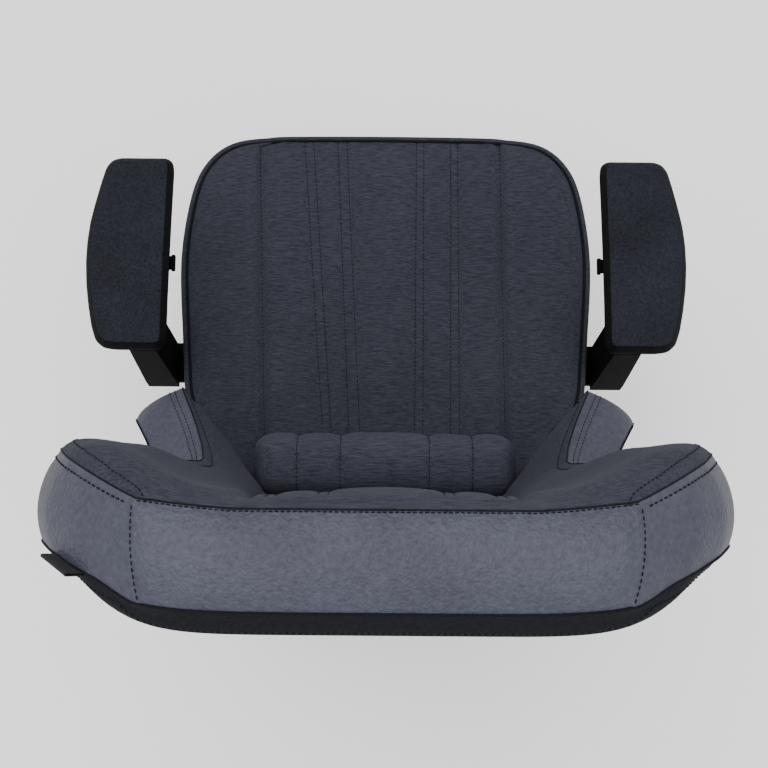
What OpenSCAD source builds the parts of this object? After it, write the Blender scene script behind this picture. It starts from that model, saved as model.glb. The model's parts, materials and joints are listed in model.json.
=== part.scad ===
// Swivel chair on a five-star base: reclining bucket backrest, loose lumbar pillow, adjustable arms.
// The lift axis is the working origin; placed() then moves every node so that the origin
// lies on the floor under the middle of the chair. The front of the chair faces -Y.

/* [Seat] */
// Height of the seat cushion's top above the floor
seat_top = 480; // [474:1:486]
// Widest width of the seat cushion
seat_w = 539; // [530:1:542]
// Distance from the lift axis to the seat's front edge
seat_front = 262; // [240:1:280]
// Distance from the lift axis to the seat's rear edge
seat_rear = 222; // [216:1:224]

/* [Backrest] */
// Length of the backrest above the seat's top
back_h = 830; // [800:1:850]
// Thickness of the backrest at its middle
back_t = 85; // [75:1:90]
// Lean of the backrest from the vertical at rest
recline = 6.5; // [4:0.5:8]
// Place of the backrest's front plane behind the lift axis, at the seat's top
back_y = 240; // [240:1:246]

/* [Lumbar pillow] */
// Width of the pillow
pillow_w = 300; // [280:1:310]
// Thickness of the pillow
pillow_t = 84; // [60:1:90]
// Height of the pillow
pillow_h = 165; // [140:1:190]

/* [Arms] */
// Height of the pad's top above the floor with the arm lowered
pad_top = 716; // [712:1:720]
// Length of the pad
pad_len = 229; // [220:1:230]
// Centre of the arm post, sideways from the chair's middle
post_x = 296; // [296:0.5:298]
// Centre of the arm post behind the lift axis
post_y = 39; // [36:1:44]

/* [Base] */
// Distance from the lift axis to each caster's stem
base_r = 300; // [285:1:315]
// Radius of the caster wheels
wheel_r = 30; // [28:1:31]
// Distance from a caster's stem to its axle
trail = 18; // [14:1:20]
// Number of legs and casters
legs = 5; // [5:1:5]

/* [Hidden] */

// Moves the lift axis so that the origin is under the middle of the chair's box.
frame_y = -51.79;
gap = 0.4;                // air between plates that slide on each other
fit = 0.05;               // radial clearance of a pin or stud in its bore
black = "#17191d";
steel = "#3a3d42";
dark_cloth = "#34373f";
grey_leather = "#5e6170";

// Heights of the stack from the floor up.
hub_top = 148;
tube_top = 330;
board_z = seat_top - 98;
board_t = 12;
plate_t = 6;
plate_z = board_z - plate_t;
cushion_z = board_z + board_t;

// The tilt pivot, in the mechanism.
tilt_y = -60;
tilt_z = plate_z - 17;
pin_r = 6;
ear_in = 60;
ear_t = 6;

// The spring under the seat's front.
spring_y = -100;
box_r = 27;
box_bore = 22;
spring_r = 16;
wire_r = 2.2;
spring_turns = 5;
knob_r = 26;

// The recline hinge, 25 behind the backrest's front plane and 45 below the seat's top.
hinge_y = back_y - 45 * sin(recline) + 25 * cos(recline);
hinge_z = seat_top - 45 * cos(recline) - 25 * sin(recline);
hinge_r = 8;
frame_in = 229;           // inner face of the back frame's side plates
side_t = 5;
bracket_in = 236;         // inner face of the seat's side brackets
boss_r = 28;

// The arm's stack under the pad.
head_top = pad_top - 44;
rail_y = -22;             // middle of the cross rail, behind the lift axis
stud_r = 12;

function flip(side) = side == "left" ? 0 : 1;

module placed() { translate([0, frame_y, 0]) children(); }
// The chair's left is +X; the right-hand pieces are the left ones mirrored.
module sided(side) { mirror([flip(side), 0, 0]) children(); }
// Backrest coordinates: x across, -y forward of the front plane, z up from the seat's top.
module in_back() { translate([0, back_y, seat_top]) rotate([-recline, 0, 0]) children(); }
module across(r, x0, x1, y, z) { translate([x0, y, z]) rotate([0, 90, 0]) cylinder(r = r, h = x1 - x0, $fn = 48); }
// A plate cut from an outline of [y, z] points, from x0 to x1.
module side_plate(points, x0, x1) {
    translate([x0, 0, 0]) rotate([90, 0, 90]) linear_extrude(height = x1 - x0) polygon(points);
}
module box(lo, hi) { translate(lo) cube(hi - lo); }

// ---- base ----
leg_tip = base_r + 8;
module leg() {
    intersection() {
        rotate([90, 0, 0]) linear_extrude(height = 70, center = true)
            polygon([[28, 88], [base_r - 60, 80], [leg_tip, 78], [leg_tip, 104], [base_r - 40, 112], [28, hub_top]]);
        linear_extrude(height = 200)
            polygon([[28, -29], [leg_tip, -18], [leg_tip, 18], [28, 29]]);
    }
}
module star_base() {
    color(black) difference() {
        union() {
            translate([0, 0, 78]) cylinder(r = 42, h = hub_top - 78, $fn = 64);
            for (i = [0 : legs - 1]) rotate([0, 0, -90 + i * 360 / legs]) {
                leg();
                translate([base_r, 0, 76]) cylinder(r = 20, h = 30, $fn = 48);
            }
        }
        translate([0, 0, 70]) cylinder(r = 25 + fit, h = 90, $fn = 64);
        for (i = [0 : legs - 1]) rotate([0, 0, -90 + i * 360 / legs])
            translate([base_r, 0, 70]) cylinder(r = 5.5 + fit, h = 34, $fn = 32);
    }
}
module column_tube() {
    color(steel) difference() {
        translate([0, 0, 84]) cylinder(r = 25, h = tube_top - 84, $fn = 64);
        translate([0, 0, 90]) cylinder(r = 22.5, h = tube_top, $fn = 64);
    }
}
module guide_bush() {
    color("white") translate([0, 0, tube_top - 68]) difference() {
        cylinder(r = 22.45, h = 67, $fn = 64);
        translate([0, 0, -1]) cylinder(r = 14 + fit, h = 70, $fn = 64);
    }
}
module column_shroud() {
    color(black) translate([0, 0, hub_top + 0.2]) difference() {
        cylinder(r = 31, h = 116, $fn = 64);
        translate([0, 0, -1]) cylinder(r = 28, h = 120, $fn = 64);
    }
}

// ---- casters ----
// The axle lies towards the lift axis from the stem.
module at_caster(i) {
    rotate([0, 0, -90 + (i - 1) * 360 / legs]) translate([base_r, 0, 0]) rotate([0, 0, 180]) children();
}
module caster_fork(i) {
    color(black) at_caster(i) {
        translate([0, 0, 70]) cylinder(r = 5.5, h = 31, $fn = 32);
        translate([0, 0, 61]) cylinder(r = 14, h = 13, $fn = 40);
        translate([0, 4, 0]) rotate([90, 0, 0]) linear_extrude(height = 8)
            polygon([[-13, 72], [13, 72], [trail + 14, 50], [trail + 12, 24], [trail, 18], [trail - 12, 24], [-11, 58]]);
        translate([trail, 25, wheel_r]) rotate([90, 0, 0]) cylinder(r = 4, h = 50, $fn = 32);
        translate([trail, 0, wheel_r]) rotate([90, 0, 0]) rotate([0, 0, 20])
            rotate_extrude(angle = 150, $fn = 72) translate([wheel_r + 2.5, -24]) square([2.5, 48]);
    }
}
module caster_wheels(i) {
    color(black) at_caster(i) translate([trail, 0, wheel_r]) rotate([90, 0, 0])
        for (s = [-1, 1]) translate([0, 0, s * 15 - 9]) rotate_extrude($fn = 72)
            polygon([[4 + fit, 0], [wheel_r - 5, 0], [wheel_r - 1, 2], [wheel_r, 6],
                     [wheel_r, 12], [wheel_r - 1, 16], [wheel_r - 5, 18], [4 + fit, 18]]);
}

// ---- gas lift and tilt mechanism ----
module gas_piston() {
    color(steel) {
        translate([0, 0, 130]) cylinder(r = 14, h = 226, $fn = 64);
        translate([0, 0, 120]) cylinder(r = 22.3, h = 14, $fn = 64);
    }
}
lug_y = -34;              // middle of the height lever, behind the lift axis
lug_x = 63;
lug_z = 346;
module mechanism_housing() {
    color(black) difference() {
        union() {
            side_plate([[-82, 336], [44, 336], [44, 350], [-36, 371], [-82, 371]], -55, 55);
            translate([0, 0, 334]) cylinder(r = 26, h = 20, $fn = 48);
            translate([0, spring_y, 322]) cylinder(r = box_r, h = 49, $fn = 48);
            for (s = [-8, 4]) box([-lug_x - 8, lug_y + s, lug_z - 8], [-54, lug_y + s + 4, lug_z + 8]);
            translate([-lug_x, lug_y + 8, lug_z]) rotate([90, 0, 0]) cylinder(r = 3, h = 16, $fn = 24);
        }
        translate([0, 0, 330]) cylinder(r = 14 + fit, h = 50, $fn = 64);
        translate([0, spring_y, 321]) cylinder(r = box_bore, h = 45, $fn = 48);
        across(pin_r + 0.02, -60, 60, tilt_y, tilt_z);
    }
}
module tilt_pin() { color(steel) across(pin_r, -72, 72, tilt_y, tilt_z); }

// A tube of 8 sides swept along a helix.
coil_steps = 60;
coil_h = 34;
function coil_point(k, j) =
    let (a = 360 * spring_turns * k / coil_steps, b = 45 * j, r = spring_r + wire_r * cos(b))
    [r * cos(a), r * sin(a), (coil_h - 2 * wire_r) * k / coil_steps + wire_r + wire_r * sin(b)];
module tilt_spring() {
    points = [for (k = [0 : coil_steps]) for (j = [0 : 7]) coil_point(k, j)];
    walls = [for (k = [0 : coil_steps - 1]) for (j = [0 : 7])
        let (a = 8 * k + j, b = 8 * k + (j + 1) % 8)
        each [[a, a + 8, b], [b, a + 8, b + 8]]];
    ends = [[for (j = [0 : 7]) j], [for (j = [7 : -1 : 0]) 8 * coil_steps + j]];
    color("silver") translate([0, spring_y, 331]) polyhedron(points, concat(walls, ends));
}
module tension_knob() {
    color(black) translate([0, spring_y, 0]) {
        translate([0, 0, 296]) difference() {
            cylinder(r = knob_r, h = 23, $fn = 60);
            for (i = [0 : 11]) rotate([0, 0, i * 30]) translate([knob_r + 2, 0, -1]) cylinder(r = 4, h = 18, $fn = 20);
        }
        translate([0, 0, 318]) cylinder(r = 6, h = 30, $fn = 32);
        translate([0, 0, 325]) cylinder(r = 20, h = 5, $fn = 40);
    }
}
module height_lever() {
    rod_end = -205;
    color(black) difference() {
        union() {
            translate([-lug_x, lug_y + 3.7, lug_z]) rotate([90, 0, 0]) cylinder(r = 7, h = 7.4, $fn = 32);
            across(3.5, rod_end, -lug_x - 5, lug_y, lug_z);
            hull() for (x = [rod_end + 10, rod_end - 40]) translate([x, lug_y, lug_z - 5])
                cylinder(r = 14, h = 9, $fn = 32);
        }
        translate([-lug_x, lug_y + 10, lug_z]) rotate([90, 0, 0]) cylinder(r = 3 + fit, h = 20, $fn = 32);
    }
}

// ---- seat ----
bolt_xy = [for (x = [-82, 82]) for (y = [-92, 82]) [x, y]];
arm_bolt_xy = [for (s = [-1, 1]) for (x = [150, 215]) for (y = [8, 42]) [s * x, y]];
module seat_plate() {
    color(black) difference() {
        union() {
            box([-100, -112, plate_z], [100, 100, board_z]);
            for (s = [-1, 1]) translate([s * (ear_in + ear_t / 2), 0, 0]) {
                side_plate([[tilt_y - 14, tilt_z], [tilt_y + 14, tilt_z], [tilt_y + 16, plate_z + 1],
                            [tilt_y - 22, plate_z + 1]], -ear_t / 2, ear_t / 2);
                across(14, -ear_t / 2, ear_t / 2, tilt_y, tilt_z);
            }
        }
        across(pin_r + fit, -80, 80, tilt_y, tilt_z);
        for (p = bolt_xy) translate([p[0], p[1], plate_z - 1]) cylinder(r = 4.2, h = 20, $fn = 32);
    }
}
module seat_board() {
    color("peru") difference() {
        translate([0, 0, board_z]) linear_extrude(height = board_t)
            polygon([[-190, -232], [190, -232], [232, -180], [236, 100], [236, 214],
                     [-236, 214], [-236, 100], [-232, -180]]);
        for (p = concat(bolt_xy, arm_bolt_xy)) translate([p[0], p[1], board_z - 1]) cylinder(r = 4.2, h = 30, $fn = 32);
    }
}
module bolt(p, z0) {
    translate([p[0], p[1], z0 - 5]) cylinder(r = 7, h = 5, $fn = 32);
    translate([p[0], p[1], z0 - 1]) cylinder(r = 4, h = cushion_z - z0, $fn = 32);
}
module seat_bolts() { color(steel) for (p = bolt_xy) bolt(p, plate_z); }

// Half of the seat's outline, for a seat 539 wide with its front edge at 262.
seat_points = [[0, -262], [120, -261.5], [165, -260.5], [190, -258], [205, -254.5], [218, -248.5], [229, -240],
               [238, -230], [246, -218], [252, -205], [257, -189], [261, -170], [265, -145], [268, -118],
               [269.5, -90], [269, -60], [267.5, -35], [265.5, -8], [263.5, 20], [261, 55], [259, 88],
               [254, 112], [240, 130], [224, 142]];
function seat_half(inset) = concat(
    [for (q = seat_points) [q[0] * (seat_w / 539) * (1 - inset / 270), (q[1] + 262) * (1 - inset / 262) - seat_front + inset]],
    [[220 - inset, 150], [220 - inset, seat_rear - inset]]);
function mirrored(half) = concat(half, [for (i = [len(half) - 1 : -1 : 1]) [-half[i][0], half[i][1]]]);
module seat_cushion() {
    color(dark_cloth) {
        translate([0, 0, cushion_z]) linear_extrude(height = 68) polygon(mirrored(seat_half(0)));
        translate([0, 0, cushion_z + 67]) linear_extrude(height = seat_top - cushion_z - 67)
            polygon(mirrored(seat_half(12)));
    }
}

// ---- recline hinge ----
module hinge_bracket(side) {
    color(steel) sided(side) difference() {
        union() {
            side_plate([[130, board_z - 14], [214, board_z - 14], [hinge_y + 27, hinge_z - 6],
                        [hinge_y - 27, hinge_z + 6], [216, board_z + 11], [130, board_z + 11]],
                       bracket_in, bracket_in + side_t);
            across(boss_r, bracket_in, bracket_in + side_t, hinge_y, hinge_z);
        }
        across(hinge_r + fit, bracket_in - 1, bracket_in + side_t + 1, hinge_y, hinge_z);
    }
}
module hinge_cover(side) {
    outer = bracket_in + side_t;
    color(black) sided(side) difference() {
        union() {
            across(40, outer + 0.2, outer + 17, hinge_y, hinge_z);
            side_plate([[150, board_z - 16], [216, board_z - 16], [hinge_y + 32, hinge_z - 24],
                        [hinge_y - 20, hinge_z + 34], [185, board_z + 30], [150, board_z + 14]],
                       outer + 0.2, outer + 17);
        }
        across(14, outer, outer + 11, hinge_y, hinge_z);
    }
}
lever_y = 176;            // pivot of the recline lever, ahead of the hinge
lever_z = board_z + 6;
module recline_lever() {
    face = bracket_in + side_t + 17;
    color(black) {
        across(10, -face - 14, -face - 0.3, lever_y, lever_z);
        side_plate([[lever_y + 10, lever_z - 7], [lever_y + 8, lever_z + 9], [lever_y - 30, lever_z + 8],
                    [lever_y - 74, lever_z - 2], [lever_y - 74, lever_z - 14], [lever_y - 30, lever_z - 8]],
                   -face - 14, -face - 4);
    }
}

// ---- arms ----
sleeve_lo = [post_x - 17, post_y - 27, board_z + gap];
sleeve_top = head_top - 62;
module arm_bracket(side) {
    color(black) sided(side) difference() {
        box([132, post_y - 34, board_z - 8], [post_x + 24, post_y + 20, board_z]);
        for (x = [150, 215]) for (y = [8, 42]) translate([x, y, board_z - 10]) cylinder(r = 4.2, h = 12, $fn = 32);
    }
}
module arm_bolts() { color(steel) for (p = arm_bolt_xy) bolt(p, board_z - 8); }
module arm_sleeve(side) {
    color(black) sided(side) difference() {
        intersection() {
            box(sleeve_lo, [post_x + 24, post_y + 27, sleeve_top]);
            rotate([90, 0, 0]) linear_extrude(height = 400, center = true)
                polygon([[post_x - 17, 300], [post_x + 24, 300], [post_x + 24, board_z + 30],
                         [post_x + 15, sleeve_top + 1], [post_x - 17, sleeve_top + 1]]);
        }
        box([post_x - 12, post_y - 21, board_z + 8], [post_x + 12, post_y + 21, sleeve_top + 1]);
    }
}
module arm_post(side) {
    color(black) sided(side) difference() {
        union() {
            box([post_x - 11.7, post_y - 20.7, board_z + 60], [post_x + 11.7, post_y + 20.7, head_top - 16]);
            box([post_x - 28, post_y - 32, head_top - 17], [post_x + 28, post_y + 29, head_top]);
            translate([post_x, post_y, head_top - 1]) cylinder(r = stud_r, h = 7.6, $fn = 48);
        }
        box([post_x + 17, post_y - 12, head_top - 14], [post_x + 30, post_y + 12, head_top - 4]);
    }
}
module height_button(side) {
    color(black) sided(side)
        box([post_x + 21, post_y - 11.6, head_top - 13.6], [post_x + 34, post_y + 11.6, head_top - 4.4]);
}
plate_lo = head_top + gap;
carriage_lo = head_top + 8 + gap;
base_lo = head_top + 18 + gap;
module swivel_plate(side) {
    color(black) sided(side) difference() {
        union() {
            box([post_x - 28, post_y - 52, plate_lo], [post_x + 28, post_y + 30, head_top + 8]);
            box([post_x - 10, post_y - 50, head_top + 7], [post_x + 10, post_y + 28, head_top + 12]);
        }
        translate([post_x, post_y, head_top - 1]) cylinder(r = stud_r + fit, h = 8, $fn = 48);
    }
}
module slide_carriage(side) {
    color(black) sided(side) difference() {
        union() {
            box([post_x - 28, rail_y - 60, carriage_lo], [post_x + 28, rail_y + 80, head_top + 18]);
            box([post_x - 20, rail_y - 10, head_top + 17], [post_x + 20, rail_y + 10, head_top + 22]);
        }
        box([post_x - 10.3, rail_y - 60, head_top + 7], [post_x + 10.3, rail_y + 90, head_top + 12.4]);
    }
}

// The pad's outline: a nearly straight inner edge and a bowed outer edge, 229 long and 96 wide.
pad_front = -145;
pad_points = [[262, 0], [315, 0], [324, 3], [330, 11], [335, 29], [341, 54], [346, 78], [348.5, 102], [349, 126],
              [347.5, 152], [344, 178], [339.5, 202], [334, 219], [325, 227], [312, 229], [264, 229], [257, 226],
              [255, 218], [255, 170], [254.5, 120], [253.5, 60], [252.5, 17], [253.5, 6], [257, 1.5]];
function pad_outline(inset) = [for (q = pad_points)
    [300 + (q[0] - 300) * (1 - inset / 48), pad_front + inset + q[1] * (pad_len - 2 * inset) / 229]];
module pad_base(side) {
    color(black) sided(side) difference() {
        translate([0, 0, base_lo]) linear_extrude(height = 10 - gap) polygon(pad_outline(3));
        box([240, rail_y - 10.3, base_lo - 1], [post_x + 32, rail_y + 10.3, head_top + 22.4]);
    }
}
module pad_lock(side) {
    color(black) sided(side) {
        box([248, rail_y - 9, base_lo - 3], [252, rail_y + 9, head_top + 24]);
        box([251.5, rail_y - 8, base_lo], [262, rail_y + 8, head_top + 22]);
    }
}
module arm_pad(side) {
    color("#25272e") sided(side) {
        translate([0, 0, head_top + 28]) linear_extrude(height = 11) polygon(pad_outline(0));
        translate([0, 0, head_top + 38]) linear_extrude(height = pad_top - head_top - 38) polygon(pad_outline(5));
    }
}

// ---- backrest ----
// Sections of the backrest by height: [height, half-width and forward reach of the front face's edge,
// then how far outwards and rearwards the rear face's edge lies from it]. Hips at 218, waist at 380,
// shoulders at 680, top at 826.
sections = [
    [-60, 200, 0, 16, 58], [0, 202, 3, 20, 72], [20, 203, 12, 22, 72], [60, 206, 45, 28, 68], [100, 213, 84, 36, 60],
    [150, 224, 118, 45, 50], [190, 231, 133, 51, 43], [218, 233, 136, 52, 41], [240, 226, 124, 48, 44],
    [262, 212, 96, 42, 50], [290, 200, 66, 34, 56], [330, 194, 50, 26, 62], [380, 193, 46, 22, 66],
    [440, 203, 45, 20, 70], [500, 223, 46, 18, 74], [560, 245, 47, 17, 77], [620, 264, 48, 16, 79],
    [670, 273, 48, 15, 79], [710, 268, 45, 13, 79], [750, 254, 37, 10, 79], [785, 230, 25, 5, 80],
    [806, 206, 13, -2, 78], [830, 182, 5, -8, 78]];
function section(z, k) = lookup(z, [for (q = sections) [q[0], q[k]]]);
flat_w = 112;             // half-width of the flat middle
function rise(x, w) = x <= flat_w ? 0 : pow((x - flat_w) / (w - flat_w), 1.35);
function rear_t(z) = back_t + 7 * min(1, max(0, (z + 60) / 60));
// The face is fuller behind the head, and the rear is squarer near the top.
function head(x, z) = 10 * exp(-pow((z - 745) / 80, 2)) * max(0, 1 - pow(x / 150, 2)) * min(1, (back_h - z) / 30);
function squareness(z) = 3.2 + 7 * min(1, max(0, (z - 755) / 45));
steps = 14;
// One closed ring at height z, shrunk by round: the front face, a bowed side, the rear face, the other side.
function back_ring(z, round) =
    let (w = section(z, 1) - round, d = section(z, 2), ex = section(z, 3), ey = section(z, 4) - 2 * round,
         xs = [for (i = [0 : steps]) 2 * i / steps - 1], wr = w + ex, t = rear_t(z) - 2 * round,
         front = [for (x = xs) [x * w, round - d * rise(abs(x) * w, w) - head(x * w, z), z]],
         rear = [for (i = [steps : -1 : 0]) let (x = xs[i])
             [x * wr, round + t + (ey - d - t) * pow(abs(x), squareness(z)), z]],
         side = [w + ex / 2 + 11, round - d + ey / 2, z])
    concat(front, [side], rear, [[-side[0], side[1], z]]);
back_levels = concat([[-60, 12], [-50, 0], [-20, 0]], [for (i = [1 : len(sections) - 2]) [sections[i][0], 0]],
                     [[back_h - 7, 1], [back_h, 6]]);
module backrest() {
    rings = [for (l = back_levels) back_ring(l[0], l[1])];
    n = len(rings[0]);
    last = len(rings) - 1;
    walls = [for (k = [0 : last - 1]) for (j = [0 : n - 1])
        let (a = n * k + j, b = n * k + (j + 1) % n)
        each [[a, a + n, b], [b, a + n, b + n]]];
    // A cap joins each front point of a ring to the rear point behind it.
    cap = concat([for (i = [0 : steps - 1]) let (r = 2 * steps + 2 - i) each [[i, i + 1, r], [i + 1, r - 1, r]]],
                 [[steps, steps + 1, steps + 2], [0, 2 * steps + 2, 2 * steps + 3]]);
    top = [for (c = cap) [c[2] + n * last, c[1] + n * last, c[0] + n * last]];
    color(grey_leather) in_back() polyhedron([for (r = rings) each r], concat(walls, cap, top));
}
// The frame's tubes, moulded into the foam, in backrest coordinates.
module back_tubes() {
    for (s = [-1, 1]) {
        translate([s * 155, 38, 26]) cylinder(r = 8, h = 700, $fn = 32);
        translate([s * 192, 38, 26]) cube([84, 12, 28], center = true);
    }
    for (z = [26, 300, 520, 726]) translate([-155, 38, z]) rotate([0, 90, 0]) cylinder(r = 8, h = 310, $fn = 32);
}
module back_frame() {
    color(steel) {
        for (side = ["left", "right"]) sided(side) difference() {
            union() {
                across(boss_r - 4, frame_in, frame_in + side_t, hinge_y, hinge_z);
                in_back() box([frame_in, 8, -45], [frame_in + side_t, 44, 40]);
            }
            across(hinge_r, frame_in - 2, frame_in + side_t + 2, hinge_y, hinge_z);
        }
        in_back() back_tubes();
    }
}
module hinge_pins() {
    color(steel) for (side = ["left", "right"]) sided(side) {
        across(hinge_r, frame_in, bracket_in + side_t + 4, hinge_y, hinge_z);
        across(hinge_r + 4, bracket_in + side_t + 0.4, bracket_in + side_t + 8, hinge_y, hinge_z);
    }
}
pillow_z = 52;            // bottom of the pillow above the seat's top
module lumbar_pillow() {
    color(dark_cloth) in_back() intersection() {
        translate([-pillow_w / 2, -4, pillow_z]) rotate([90, 0, 90]) linear_extrude(height = pillow_w)
            polygon([[0, 8], [0, pillow_h - 8], [-18, pillow_h], [-62, pillow_h - 6], [-pillow_t, pillow_h * 0.66],
                     [-pillow_t, pillow_h * 0.34], [-62, 6], [-18, 0]]);
        translate([0, -4, 0]) linear_extrude(height = 300)
            polygon([[-95, 0], [-pillow_w / 2, -11], [-pillow_w / 2, -58], [20 - pillow_w / 2, -pillow_t],
                     [pillow_w / 2 - 20, -pillow_t], [pillow_w / 2, -58], [pillow_w / 2, -11], [95, 0]]);
    }
}
module lumbar_straps() {
    rear = back_t + 1;
    color("#202227") in_back() for (x = [-110, 70]) translate([x, 0, 0]) rotate([90, 0, 90]) linear_extrude(height = 40)
        polygon([[-3.2, pillow_z + 30], [-3.2, -63.5], [rear + 2, -63.5], [rear + 2, 150], [rear, 150],
                 [rear, -61.5], [-1.2, -61.5], [-1.2, pillow_z + 30]]);
}
module side_label() {
    color("#1b1d22") in_back() translate([252, 44, 764]) rotate([-18, -38, 0]) box([-4, 0, -22], [17, 1.2, 22]);
}

placed() star_base();
placed() column_tube();
placed() guide_bush();
placed() column_shroud();
for (i = [1 : legs]) placed() caster_fork(i);
for (i = [1 : legs]) placed() caster_wheels(i);
placed() gas_piston();
placed() mechanism_housing();
placed() tilt_pin();
placed() tilt_spring();
placed() tension_knob();
placed() height_lever();
placed() seat_plate();
placed() seat_board();
placed() seat_cushion();
placed() seat_bolts();
placed() recline_lever();
placed() arm_bolts();
for (side = ["left", "right"]) {
    placed() hinge_bracket(side);
    placed() hinge_cover(side);
    placed() arm_bracket(side);
    placed() arm_sleeve(side);
    placed() arm_post(side);
    placed() height_button(side);
    placed() swivel_plate(side);
    placed() slide_carriage(side);
    placed() pad_base(side);
    placed() pad_lock(side);
    placed() arm_pad(side);
}
placed() back_frame();
placed() hinge_pins();
placed() backrest();
placed() lumbar_pillow();
placed() lumbar_straps();
placed() side_label();
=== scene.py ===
import bpy, bmesh, json, math, mathutils
import numpy as np
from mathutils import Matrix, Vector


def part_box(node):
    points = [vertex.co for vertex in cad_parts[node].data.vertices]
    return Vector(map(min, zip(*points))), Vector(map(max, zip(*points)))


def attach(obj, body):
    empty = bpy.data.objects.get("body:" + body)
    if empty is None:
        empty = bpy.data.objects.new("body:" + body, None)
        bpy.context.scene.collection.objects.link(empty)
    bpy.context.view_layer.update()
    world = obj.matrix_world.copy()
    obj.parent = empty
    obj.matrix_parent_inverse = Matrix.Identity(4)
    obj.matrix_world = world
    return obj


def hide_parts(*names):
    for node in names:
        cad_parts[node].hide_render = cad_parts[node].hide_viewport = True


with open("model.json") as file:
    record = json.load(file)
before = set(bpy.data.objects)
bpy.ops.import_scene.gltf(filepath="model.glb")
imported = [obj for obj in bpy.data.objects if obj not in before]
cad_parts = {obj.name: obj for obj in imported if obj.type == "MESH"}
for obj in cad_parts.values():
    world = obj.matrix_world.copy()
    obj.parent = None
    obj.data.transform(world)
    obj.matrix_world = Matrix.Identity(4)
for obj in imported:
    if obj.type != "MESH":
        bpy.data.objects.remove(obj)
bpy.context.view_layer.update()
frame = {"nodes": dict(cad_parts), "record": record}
print("frame loaded")

# Millimetres from the lift axis and the floor; place() turns them into metres in the part's frame.
chair = {"seatTop": 480.0, "backY": 240.0, "lean": math.radians(6.5)}
tubeLow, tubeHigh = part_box("column_tube")
axisY = (tubeLow[1] + tubeHigh[1]) / 2


def place(x, y, z):
    x, y, z = np.broadcast_arrays(np.asarray(x, float), y, z)
    return np.stack([x, y, z], -1) * 0.001 + np.array([0, axisY, 0])


def placeBack(x, y, s):  # y is square to the backrest's front plane, s runs up along it
    c, k = math.cos(chair["lean"]), math.sin(chair["lean"])
    return place(x, chair["backY"] + np.asarray(y) * c + np.asarray(s) * k,
                 chair["seatTop"] + np.asarray(s) * c - np.asarray(y) * k)


def newMaterial(name, colour, roughness, metallic=0.0, sheen=0.0, shine=0.25):
    material = bpy.data.materials.new(name)
    material.use_nodes = True
    tree = material.node_tree
    shader = tree.nodes["Principled BSDF"]
    shader.inputs["Base Color"].default_value = (*colour, 1)
    shader.inputs["Roughness"].default_value = roughness
    shader.inputs["Metallic"].default_value = metallic
    shader.inputs["Sheen Weight"].default_value = sheen
    shader.inputs["Sheen Roughness"].default_value = 0.4
    shader.inputs["Sheen Tint"].default_value = (*[min(1.0, c * 8) for c in colour], 1)
    shader.inputs["Specular IOR Level"].default_value = shine
    return material, tree, shader


def objectPattern(tree, scale):  # the piece's own coordinates, stretched
    where = tree.nodes.new("ShaderNodeTexCoord")
    mapping = tree.nodes.new("ShaderNodeMapping")
    mapping.inputs["Scale"].default_value = scale
    tree.links.new(where.outputs["Object"], mapping.inputs["Vector"])
    return mapping.outputs["Vector"]


def noise(tree, vector, scale=1.0, detail=3.0, rough=0.5):
    node = tree.nodes.new("ShaderNodeTexNoise")
    node.inputs["Scale"].default_value = scale
    node.inputs["Detail"].default_value = detail
    node.inputs["Roughness"].default_value = rough
    tree.links.new(vector, node.inputs["Vector"])
    return node.outputs["Fac"]


def math2(tree, kind, a, b):
    node = tree.nodes.new("ShaderNodeMath")
    node.operation = kind
    for socket, value in zip(node.inputs, (a, b)):
        if isinstance(value, (int, float)):
            socket.default_value = value
        else:
            tree.links.new(value, socket)
    return node.outputs[0]


def colourBetween(tree, factor, dark, light, low=0.3, high=0.7):
    ramp = tree.nodes.new("ShaderNodeValToRGB")
    ramp.color_ramp.elements[0].position, ramp.color_ramp.elements[1].position = low, high
    ramp.color_ramp.elements[0].color = (*dark, 1)
    ramp.color_ramp.elements[1].color = (*light, 1)
    tree.links.new(factor, ramp.inputs["Fac"])
    return ramp.outputs["Color"]


def bump(tree, shader, height, strength, distance):
    node = tree.nodes.new("ShaderNodeBump")
    node.inputs["Strength"].default_value = strength
    node.inputs["Distance"].default_value = distance
    tree.links.new(height, node.inputs["Height"])
    tree.links.new(node.outputs["Normal"], shader.inputs["Normal"])


def dimmed(colour, share):
    return [c * share for c in colour]


def shade(tree, shader, colour):
    tree.links.new(colour, shader.inputs["Base Color"])


# Slub cloth: long thin streaks across the chair, crossed by a fine thread pattern.
def wovenCloth(name, dark, light, streak=(70, 650, 650), thread=1250):
    material, tree, shader = newMaterial(name, dark, 0.92, sheen=0.08, shine=0.12)
    slub = noise(tree, objectPattern(tree, streak), 1.0, 2.0, 0.6)
    fine = noise(tree, objectPattern(tree, (thread * 0.6, thread, thread)), 1.0, 1.0, 0.5)
    broad = noise(tree, objectPattern(tree, (9, 9, 9)), 1.0, 2.0)
    mix = math2(tree, "ADD", math2(tree, "MULTIPLY", slub, 0.6), math2(tree, "MULTIPLY", fine, 0.3))
    mix = math2(tree, "ADD", mix, math2(tree, "MULTIPLY", broad, 0.1))
    shade(tree, shader, colourBetween(tree, mix, dark, light, 0.36, 0.64))
    bump(tree, shader, mix, 0.6, 0.0009)
    return material


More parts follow.
